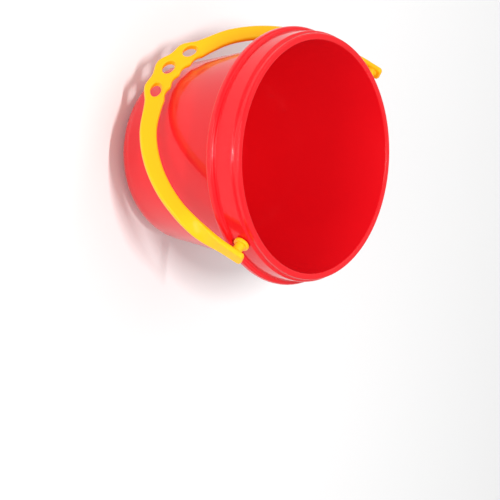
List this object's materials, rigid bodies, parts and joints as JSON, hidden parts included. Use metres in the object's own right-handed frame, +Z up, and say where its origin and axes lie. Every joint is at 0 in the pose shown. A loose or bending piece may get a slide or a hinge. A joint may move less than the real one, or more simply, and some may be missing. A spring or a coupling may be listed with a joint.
{
  "type": "sand bucket",
  "caption": "Tapered nesting plastic bucket with a turned-down beaded collar and a flat bail handle that swings on pins through the collar.",
  "frame": {"origin": "middle of the underside of the bucket's base, on the bucket's axis", "axes": "+Z up along the bucket's axis, X along the line through the two pins, the folded handle hangs on the -Y side"},
  "size_m": [0.2044, 0.18, 0.139],
  "materials": {
    "bucket_red": "glossy injection-moulded polypropylene",
    "handle_yellow": "glossy injection-moulded polypropylene"
  },
  "bodies": {
    "bucket": {"bucket": "bucket_red"},
    "handle": {"handle": "handle_yellow"}
  },
  "joints": [
    {"name": "handle_swing", "type": "hinge", "parent": "bucket", "child": "handle", "pos_m": [0, 0, 0.12795], "axis": [-1, 0, 0], "range_deg": [0, 275.5]}
  ]
}
